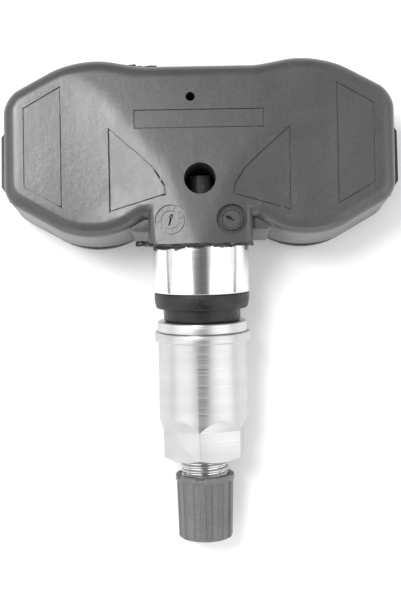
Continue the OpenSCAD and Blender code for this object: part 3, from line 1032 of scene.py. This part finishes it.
@dataclass
class FlashAndPaintedShade:
    """The ragged black flash along the neck's foot, a lump by the left pad and slivers on the top
    edge: partly real plastic flash, partly painted shade of the dark gaps and nicks there.
    """

    foot_half: float = 7.9
    foot_front: float = 8.55
    foot_rough: float = 0.16
    skin_rough: float = 0.22
    blob_rough: float = 0.3
    blob_x: Pair = (-9.9, -8.0)
    blob_y: Pair = (3.2, 5.2)
    skins: tuple[Triple, ...] = (
        (-7.2, -4.6, 0.75), (-5.4, -2.9, 0.62), (-2.2, 0.4, 0.5), (2.2, 5.2, 0.5),
    )
    slivers: tuple[tuple[float, float, float, float], ...] = (
        (-12.0, -9.6, 27.8, 28.35), (-9.9, -6.4, 27.6, 28.15),
    )

    def ragged(self, low: Sequence[float], high: Sequence[float], rough: float, seed: float,
               cuts: int = 10) -> Shape:
        """Return a block with rounded edges and an uneven surface.

        Args:
            low: One corner.
            high: The opposite corner.
            rough: How far points are moved.
            seed: Picks the pattern.
            cuts: Subdivisions of each edge.

        Returns:
            The closed lump.
        """
        shape = Shape.box(low, high).softened(0.12, 60, 2)
        long_edges = [e for e in shape.bm.edges if e.calc_length() > 1.2]
        bmesh.ops.subdivide_edges(shape.bm, edges=long_edges, cuts=cuts, use_grid_fill=True)
        bmesh.ops.triangulate(shape.bm, faces=shape.bm.faces)

        def shift(co: Vector) -> Vector:
            """Move a point by noise."""
            return co + rough * noise.noise_vector(co * 1.7 + Vector((seed, 0, 0)))

        return shape.moved(shift)

    def make(self, material: Material) -> None:
        """Build the black flash along the neck's foot, the lump by the left pad and the slivers on
        the top edge, whose black is partly painted shade.

        Args:
            material: Its finish.
        """
        neck = PLACES.neck_at
        half, front = self.foot_half, self.foot_front
        # Strip under the neck's foot: partly flash, partly painted shadow of the gap under the
        # neck
        shape = self.ragged((-half, 7.5, neck - 0.1), (half, front, neck + 0.3),
                            self.foot_rough, 1.0, 40)
        for k, (x0, x1, out) in enumerate(self.skins):
            shape.add_loose(self.ragged((x0, 7.6, neck), (x1, 8.0, neck + out),
                                        self.skin_rough, 5.0 + k))
        # Lump by the left pad: painted shadow of the dark gap there, with some flash
        (x0, x1), (y0, y1) = self.blob_x, self.blob_y
        shape.add_loose(self.ragged((x0, y0, neck - 0.3), (x1, y1, neck + 0.35),
                                    self.blob_rough, 11.0, 6))
        to_stem = PLACES.stem().inverted() @ PLACES.housing()
        for k, (x0, x1, low, high) in enumerate(self.slivers):
            sliver = self.ragged((x0, low, -2.3), (x1, high, -2.0),
                                 self.foot_rough, 20.0 + k)
            shape.add_loose(sliver.placed(to_stem))
        # The black finish on these lumps is painted shade: flash of the grey housing would be grey
        shape.as_piece("flash_and_painted_shade", PLACES.stem(), Body.SENSOR, "housing_plastic", material)


@dataclass
class BackCover:
    """The black plate that closes the housing behind, with a lug at each side."""

    soft: float = 0.18

    def make(self, material: Material) -> None:
        """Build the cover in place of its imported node.

        Args:
            material: Its finish.
        """
        shape = Shape.of_node("back_cover", PLACES.housing())
        shape.softened(self.soft, 40, 2)
        piece = shape.as_piece("cover_plate", PLACES.housing(), Body.SENSOR, "cover_plastic",
                               material)
        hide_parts("back_cover")


# The stem and what is on it


@dataclass
class ValveStem:
    """The turned stem: anchor, polished barrel, threaded shaft, duct and core chamber."""

    barrel_r: float = 7.54
    barrel_end: float = -2.5
    crest_r: float = 3.75
    root_r: float = 3.42
    tip_at: float = 34.6
    anchor_r: float = 6.0
    anchor_len: float = 6.0
    groove_depth: float = 1.0
    chamfer: float = 0.4
    duct_r: float = 1.7
    chamber_r: float = 2.6
    throat_r: float = 2.0
    core_seat: float = 28.1
    cone_len: float = 1.27
    throat_end: float = 17.2
    thread_from: float = 6.0
    pitch: float = 0.794
    thread_steps: int = 48
    fade_len: float = 1.0

    def lathe(self) -> Shape:
        """Turn the stem's body.

        Returns:
            The stem without its thread.
        """
        neck, back = PLACES.neck_at, PLACES.neck_at - self.anchor_len
        step = self.anchor_len / 5
        groove = self.anchor_r - self.groove_depth
        profile = [
            (self.duct_r, back, 0), (self.anchor_r, back, 0.2),
            (self.anchor_r, back + step, 0), (groove, back + step, 0),
            (groove, back + 2 * step, 0), (self.anchor_r, back + 2 * step, 0),
            (self.anchor_r, back + 3 * step, 0), (groove, back + 3 * step, 0),
            (groove, back + 4 * step, 0), (self.anchor_r, back + 4 * step, 0),
            (self.anchor_r, neck, 0), (self.barrel_r, neck, 0.1),
            (self.barrel_r, self.barrel_end, 0.2), (self.crest_r, self.barrel_end, 0),
            (self.crest_r, self.thread_from - self.chamfer, 0),
            (self.root_r, self.thread_from, 0), (self.root_r, self.tip_at - self.chamfer, 0),
            (self.root_r - self.chamfer, self.tip_at, 0),
            (self.chamber_r, self.tip_at, 0.1), (self.chamber_r, self.core_seat, 0),
            (self.throat_r, self.core_seat - self.cone_len, 0),
            (self.throat_r, self.throat_end, 0),
            (self.duct_r, self.throat_end, 0),
        ]
        return Shape.turned(profile)

    def thread(self) -> Shape:
        """Make the thread.

        Returns:
            The helical ridge, faded out at both ends.
        """
        shape = Shape()
        bm = shape.bm
        half = self.pitch * 0.44
        section = ((self.root_r - 0.1, -half), (self.root_r, -half), (self.crest_r, -0.1),
                   (self.crest_r, 0.1), (self.root_r, half), (self.root_r - 0.1, half))
        verts = [bm.verts.new((r, 0, z)) for r, z in section]
        bm.faces.new(verts)
        length = self.tip_at - self.thread_from - 1.2
        turns = length / self.pitch
        steps = int(turns * self.thread_steps)
        bmesh.ops.spin(bm, geom=bm.verts[:] + bm.edges[:] + bm.faces[:], cent=(0, 0, 0),
                       axis=(0, 0, 1), dvec=(0, 0, self.pitch / self.thread_steps),
                       angle=math.tau * steps / self.thread_steps, steps=steps,
                       use_merge=False, use_duplicate=False)
        bmesh.ops.translate(bm, verts=bm.verts, vec=(0, 0, self.thread_from + 0.4))

        def fade(co: Vector) -> Vector:
            """Sink the ridge into the shaft near its ends.

            Args:
                co: A point of the ridge.

            Returns:
                Its new place.
            """
            near = min(co.z - self.thread_from, self.tip_at - 0.5 - co.z)
            share = min(1, max(0, near / self.fade_len))
            radius = math.hypot(co.x, co.y)
            if radius <= self.root_r:
                return co
            wanted = self.root_r - 0.05 + (radius - self.root_r + 0.05) * share
            return Vector((co.x * wanted / radius, co.y * wanted / radius, co.z))

        shape.moved(fade)
        bmesh.ops.remove_doubles(bm, verts=bm.verts, dist=MERGE_DIST)
        bmesh.ops.recalc_face_normals(bm, faces=bm.faces)
        return shape

    def make(self, barrel: Material, threads: Material) -> None:
        """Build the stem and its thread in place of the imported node.

        Args:
            barrel: Finish of the turned body.
            threads: Finish of the thread.
        """
        piece = self.lathe().as_piece("stem_turned", PLACES.stem(), Body.SENSOR,
                                      "stem_aluminium", barrel)
        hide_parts("valve_stem")
        self.thread().as_piece("stem_thread", PLACES.stem(), Body.SENSOR, "stem_aluminium",
                               threads, 40)


@dataclass
class Grommet:
    """The rubber grommet: tapered flange and the collar that centres in the rim's hole."""

    flange_r: float = 7.45
    seat_r: float = 7.15
    flange_t: float = 2.5
    collar_r: float = 6.05
    end: float = 2.0
    bore: float = 3.76

    def make(self, material: Material) -> None:
        """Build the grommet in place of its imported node.

        Args:
            material: Its finish.
        """
        shape = Shape.turned((
            (self.bore, -self.flange_t, 0), (self.flange_r, -self.flange_t, 0.3),
            (self.flange_r - 0.03, -self.flange_t + 1.35, 0.25), (self.seat_r, 0, 0.22),
            (self.collar_r, 0, 0.12), (self.collar_r - 0.05, self.end, 0.3),
            (self.bore, self.end, 0),
        ))
        piece = shape.as_piece("grommet_rubber_ring", PLACES.stem(), Body.SENSOR,
                               "grommet_rubber", material, 50)
        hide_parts("rim_grommet")


@dataclass
class Washer:
    """The flat washer between the rim and the nut."""

    start: float = 2.05
    thickness: float = 1.6
    radius: float = 7.05
    bore: float = 3.8

    def make(self, material: Material) -> None:
        """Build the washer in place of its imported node.

        Args:
            material: Its finish.
        """
        end = self.start + self.thickness
        shape = Shape.turned((
            (self.bore, self.start, 0.1), (self.radius, self.start, 0.25),
            (self.radius, end, 0.08), (self.bore, end, 0.1),
        ))
        piece = shape.as_piece("nut_washer_ring", PLACES.stem(), Body.WASHER, "nut_aluminium",
                               material)
        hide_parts("nut_washer")


@dataclass
class CollarNut:
    """The collar nut: flange, turned body and a hexagon milled in with sloped shoulders."""

    start: float = 3.7
    flange_r: float = 7.53
    flange_end: float = 5.15
    body_r: float = 7.0
    end: float = 23.95
    end_r: float = 5.7
    relief_r: float = 4.75
    relief_len: float = 7.0
    bore: float = 3.8
    hex_at: float = 19.05
    half_flats: float = 6.0
    shoulder: float = 1.95
    turn: float = 6.0

    def make(self, material: Material) -> None:
        """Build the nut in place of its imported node.

        Args:
            material: Its finish.
        """
        turned_len = (self.body_r - self.end_r) * math.tan(math.radians(30))
        relief = self.start + self.relief_len
        shape = Shape.turned((
            (self.bore, relief, 0), (self.relief_r, relief, 0), (self.relief_r, self.start, 0.1),
            (self.flange_r, self.start, 0.22), (self.flange_r, self.flange_end, 0.2),
            (self.body_r, self.flange_end, 0.12), (self.body_r, self.end - turned_len, 0),
            (self.end_r, self.end, 0.1), (self.bore, self.end, 0.25),
        ), 192)
        out = self.body_r + CLEAR
        slope = self.shoulder / (self.body_r - self.half_flats)
        high = self.hex_at - slope * (out - self.half_flats)
        for k in range(6):
            cutter = Shape.plate((
                (self.half_flats, self.hex_at, 0), (out, high, 0), (out + CLEAR, high, 0),
                (out + CLEAR, self.end + CLEAR, 0), (self.half_flats, self.end + CLEAR, 0),
            ), -out, out)
            stand = Matrix.Rotation(math.radians(90), 4, "X")
            swing = Matrix.Rotation(math.radians(60 + self.turn + 60 * k), 4, "Z")
            shape.combined(cutter.placed(swing @ stand), Joining.CUT)
        shape.softened(0.07, 24, 2, lambda e: min(v.co.z for v in e.verts) > 12)
        piece = shape.as_piece("nut_body", PLACES.stem(), Body.NUT, "nut_aluminium", material, 26)
        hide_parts("collar_nut")


@dataclass
class ValveCap:
    """The moulded cap: nicked rim, fourteen ribs, ripples on the panels and a scalloped end."""

    mouth: float = 26.5
    length: float = 10.3
    rim_r: float = 4.65
    rim_len: float = 0.9
    top_r: float = 4.5
    end_r: float = 4.28
    bore: float = 3.8
    depth: float = 9.05
    rows: int = 44
    ribs: int = 14
    rib_share: float = 0.42
    rib_h: float = 0.24
    rib_turn: float = 95.0
    rib_slope: float = 0.1
    panel_start: float = 0.25
    ripple_h: float = 0.05
    ripple_from: float = 3.6
    ripple_over: float = 2.5
    nick_h: float = 0.9
    nick_len: float = 0.5

    def wall_change(self, co: Vector) -> Vector:
        """Cut the panels between the ribs into the outer wall and nick its rim.

        Args:
            co: A point of the turned cap.

        Returns:
            Its new place.
        """
        radius = math.hypot(co.x, co.y)
        along = co.z - self.mouth
        if radius < self.bore + 0.2:
            return co
        angle = math.degrees(math.atan2(co.y, co.x)) - self.rib_turn
        place = (angle / 360 * self.ribs) % 1
        off = min(place, 1 - place) * 2
        panel = min(1, max(0, (off - self.rib_share) / self.rib_slope))
        start = min(1, max(0, (along - self.rim_len) / self.panel_start))
        cut = self.rib_h * panel * start
        ripple = noise.noise(Vector((math.floor(angle / 360 * self.ribs), co.z * 1.3, 3.1)))
        low_half = min(1, max(0, (along - self.ripple_from) / self.ripple_over))
        cut += self.ripple_h * (0.5 + ripple) * panel * low_half
        nick = noise.noise(Vector((co.x * 1.1, co.y * 1.1, 7.7)))
        lift = max(0, nick - 0.05) * self.nick_h * max(0, 1 - along / self.nick_len)
        new = radius - cut - lift * 0.25
        return Vector((co.x * new / radius, co.y * new / radius, co.z + lift))

    def make(self, material: Material) -> None:
        """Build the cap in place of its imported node.

        Args:
            material: Its finish.
        """
        end = self.mouth + self.length
        inside = self.mouth + self.depth
        profile = [
            (0, inside, 0), (self.bore, inside, 0.1), (self.bore, self.mouth, 0.15),
            (self.rim_r, self.mouth, 0.12), (self.rim_r, self.mouth + self.rim_len, 0.1),
            (self.top_r, self.mouth + self.rim_len, 0),
        ]
        first = self.mouth + self.rim_len
        for k in range(1, self.rows):
            share = k / self.rows
            profile.append((self.top_r + (self.end_r - self.top_r) * share,
                            first + (end - 0.5 - first) * share, 0))
        profile += [(self.end_r, end - 0.45, 0), (self.end_r - 0.14, end - 0.15, 0),
                    (self.end_r - 0.45, end, 0), (0, end, 0)]
        shape = Shape.turned(profile, self.ribs * 20).moved(self.wall_change)
        piece = shape.as_piece("cap_shell", PLACES.stem(), Body.CAP, "cap_plastic", material, 40)
        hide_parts("valve_cap")


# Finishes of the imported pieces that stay


INNER_FINISHES: dict[str, Finish] = {
    "potting_layer": InnerResin("resin_black", (0.012, 0.012, 0.014), 0.3),
    "circuit_board": InnerResin("board_lacquer", (0.02, 0.14, 0.06), 0.35, 500),
    "battery_cell": PlainMetal("cell_nickel", (0.62, 0.61, 0.58)),
    "battery_tab_plus": PlainMetal("strip_nickel", (0.58, 0.57, 0.53)),
    "battery_tab_minus": PlainMetal("strip_nickel_under", (0.58, 0.57, 0.53)),
    "pressure_sensor_chip": InnerResin("chip_resin", (0.02, 0.02, 0.021), 0.5),
    "port_seal": Rubber("port_seal_rubber", 40),
    "transmitter_chip": InnerResin("chip_resin_second", (0.018, 0.018, 0.02), 0.48),
    "motion_sensor_chip": InnerResin("chip_resin_third", (0.02, 0.02, 0.02), 0.52),
    "crystal_can": PlainMetal("can_nickel", (0.6, 0.59, 0.56)),
    "board_capacitors": InnerResin("ceramic_tan", (0.3, 0.19, 0.1), 0.4, 1600),
    "wake_coil_core": InnerResin("ferrite", (0.05, 0.05, 0.052), 0.55),
    "wake_coil_winding": PlainMetal("coil_wire", (0.55, 0.22, 0.09)),
    "antenna_loop": PlainMetal("aerial_strip", (0.62, 0.33, 0.16)),
    "cap_seal": Rubber("cap_seal_rubber", 34),
    "core_barrel": PlainMetal("core_brass", (0.6, 0.42, 0.16)),
    "core_barrel_seal": InnerResin("core_seal_ring", (0.3, 0.03, 0.02), 0.45),
    "core_pin": PlainMetal("pin_brass", (0.62, 0.45, 0.18)),
    "core_cup": PlainMetal("cup_brass", (0.58, 0.41, 0.16)),
    "core_cup_seal": Rubber("cup_seal_rubber", 30),
    "core_spring": PlainMetal("spring_wire", (0.5, 0.5, 0.5), 0.25),
}


def dress_inner_nodes() -> None:
    """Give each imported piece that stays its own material."""
    for node, finish in INNER_FINISHES.items():
        thing = frame["nodes"][node]
        thing.data.materials.clear()
        thing.data.materials.append(finish.make())
        LOG.info("%s: dressed", node)


# The studio


@dataclass(frozen=True)
class Lamp:
    """A soft rectangular lamp aimed at the part, in metres and watts."""

    name: str
    at: Triple
    size: Pair
    power: float

    def make(self) -> None:
        """Add the lamp to the scene."""
        light = bpy.data.lights.new(self.name, "AREA")
        light.shape = "RECTANGLE"
        light.size, light.size_y = self.size
        light.energy = self.power
        lamp = in_scene(self.name, light)
        lamp.location = self.at
        lamp.rotation_euler = (-Vector(self.at)).to_track_quat("-Z", "Y").to_euler()


@dataclass
class Studio:
    """White sweep, soft lamps, the surroundings that metal shows, and the camera."""

    camera_at: Triple = (-0.23, 1.04, 209.46)
    camera_roll: float = -1.0
    lens: float = 79.67
    ambient: float = 0.8
    bands: tuple[Pair, ...] = (
        (-1.0, 0.6), (-0.975, 0.2), (-0.92, 1.0), (-0.42, 1.0), (-0.24, 0.3), (-0.02, 0.16),
        (0.2, 0.2), (0.36, 0.95), (0.92, 1.0), (0.975, 0.2), (1.0, 0.6),
    )
    lamps: tuple[Lamp, ...] = (
        Lamp("key_lamp", (-0.155, 0.15, 0.455), (0.12, 0.17), 1.5),
        Lamp("left_lamp", (-0.6, -0.1, 0.45), (0.6, 0.9), 1.2),
        Lamp("right_lamp", (0.6, -0.15, 0.45), (0.6, 0.9), 1.5),
        Lamp("near_lamp", (0, -0.65, 0.16), (0.9, 0.25), 1.2),
    )
    floor_half: float = 1.5
    floor_gap: float = 0.0002
    floor_tone: float = 0.9

    def floor(self) -> None:
        """Add the pale floor under the part's lowest point."""
        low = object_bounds()[0][2]
        bm = bmesh.new()
        bmesh.ops.create_grid(bm, x_segments=2, y_segments=2, size=self.floor_half,
                              matrix=Matrix.Translation((0, 0, low - self.floor_gap)))
        mesh = bpy.data.meshes.new("floor")
        bm.to_mesh(mesh)
        bm.free()
        floor = in_scene("floor", mesh)
        board = NodeBoard("floor_white")
        board.shader.inputs["Base Color"].default_value = (*(self.floor_tone,) * 3, 1)
        board.set("Roughness", 0.9)
        board.set("Specular IOR Level", 0)
        mesh.materials.append(board.material)
        floor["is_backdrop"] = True

    def world(self) -> None:
        """Light evenly, show white to the camera and a banded studio to shiny surfaces."""
        world = bpy.data.worlds.new("surroundings")
        bpy.context.scene.world = world
        world.use_nodes = True
        tree = world.node_tree
        nodes, links = tree.nodes, tree.links
        diffuse = nodes["Background"]
        diffuse.inputs["Color"].default_value = (1, 1, 1, 1)
        diffuse.inputs["Strength"].default_value = self.ambient
        coords = nodes.new("ShaderNodeTexCoord")
        parts = nodes.new("ShaderNodeSeparateXYZ")
        across = nodes.new("ShaderNodeMapRange")
        across.inputs["From Min"].default_value = -1
        bands = nodes.new("ShaderNodeValToRGB")
        fill_ramp(bands.color_ramp, [((x + 1) / 2, (grey,) * 3) for x, grey in self.bands])
        studio = nodes.new("ShaderNodeBackground")
        white = nodes.new("ShaderNodeBackground")
        white.inputs["Color"].default_value = (1, 1, 1, 1)
        rays = nodes.new("ShaderNodeLightPath")
        shiny = nodes.new("ShaderNodeMixShader")
        seen = nodes.new("ShaderNodeMixShader")
        wires = (
            (coords, "Generated", parts, "Vector"), (parts, "X", across, "Value"),
            (across, "Result", bands, "Fac"), (bands, "Color", studio, "Color"),
            (rays, "Is Glossy Ray", shiny, "Fac"), (diffuse, "Background", shiny, 1),
            (studio, "Background", shiny, 2), (rays, "Is Camera Ray", seen, "Fac"),
            (shiny, "Shader", seen, 1), (white, "Background", seen, 2),
            (seen, "Shader", nodes["World Output"], "Surface"),
        )
        for source, out, target, into in wires:
            links.new(source.outputs[out], target.inputs[into])

    def camera(self) -> None:
        """Set up the camera straight above the part, as in the photograph."""
        data = bpy.data.cameras.new("camera")
        data.lens = self.lens
        data.sensor_width = 36
        data.sensor_fit = "AUTO"
        data.clip_start = 0.01
        camera = in_scene("camera", data)
        camera.location = [c * MM for c in self.camera_at]
        camera.rotation_euler = (0, 0, math.radians(self.camera_roll))
        bpy.context.scene.camera = camera

    def make(self) -> None:
        """Build the whole studio."""
        self.floor()
        self.world()
        for lamp in self.lamps:
            lamp.make()
        self.camera()
        bpy.context.scene.view_settings.view_transform = "Standard"


def main() -> None:
    """Build every piece in order."""
    logging.basicConfig(level=logging.INFO, format="%(message)s")
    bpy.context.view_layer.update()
    Studio().make()
    dress_inner_nodes()
    Housing().make(MouldedPlastic("housing_grey", 70).make())
    black = MouldedPlastic("cover_black", 26, cloud=0.08, roughness=0.42).make()
    BackCover().make(black)
    # The cover's own black; on the flash it is painted shade
    FlashAndPaintedShade().make(black)
    ValveStem().make(TurnedMetal("barrel_polished", 232, roughness=0.12).make(),
                     TurnedMetal("thread_nickel", 190, roughness=0.28).make())
    Grommet().make(Rubber("grommet_black").make())
    Washer().make(TurnedMetal("washer_satin", 204, roughness=0.35).make())
    CollarNut().make(TurnedMetal("nut_satin", 198, roughness=0.36).make())
    ValveCap().make(MouldedPlastic("cap_grey", 100, cloud=0.06, roughness=0.45).make())


if __name__ == "__main__":
    main()
